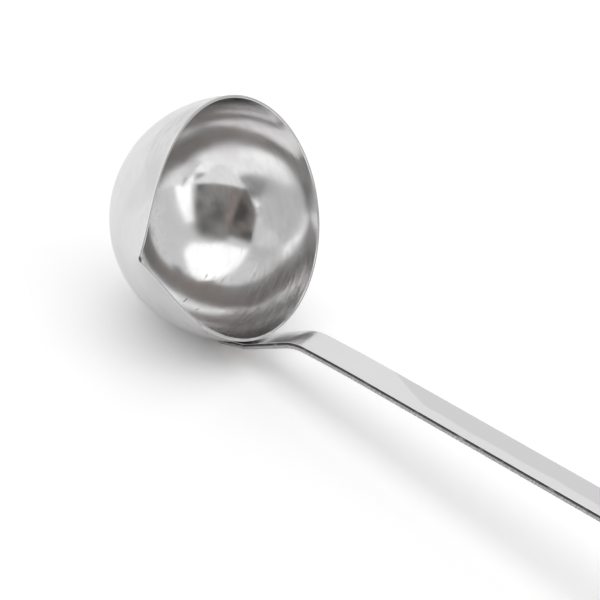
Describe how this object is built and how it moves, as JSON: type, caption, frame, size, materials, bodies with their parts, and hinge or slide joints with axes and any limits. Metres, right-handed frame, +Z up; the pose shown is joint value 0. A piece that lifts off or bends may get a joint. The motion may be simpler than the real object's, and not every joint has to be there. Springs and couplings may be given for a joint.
{
  "type": "soup ladle",
  "caption": "Stainless soup ladle: deep round bowl with a pulled pouring spout on one side and a flat strap handle, spot welded under the rim, ending in a hanging hook.",
  "frame": {"origin": "middle of the bounding box seen from above, on the table the ladle lies on", "axes": "+X from the bowl towards the hook, -Y towards the spout's side, +Z up from the table"},
  "size_m": [0.2964, 0.1028, 0.0865],
  "materials": {
    "bowl_steel": "mirror polished",
    "strap_steel": "satin polished faces, grained blanked edges",
    "weld_steel": "fused metal inside the joint"
  },
  "bodies": {
    "root": {"bowl": "bowl_steel", "handle": "strap_steel", "spot_welds": "weld_steel"}
  },
  "joints": []
}
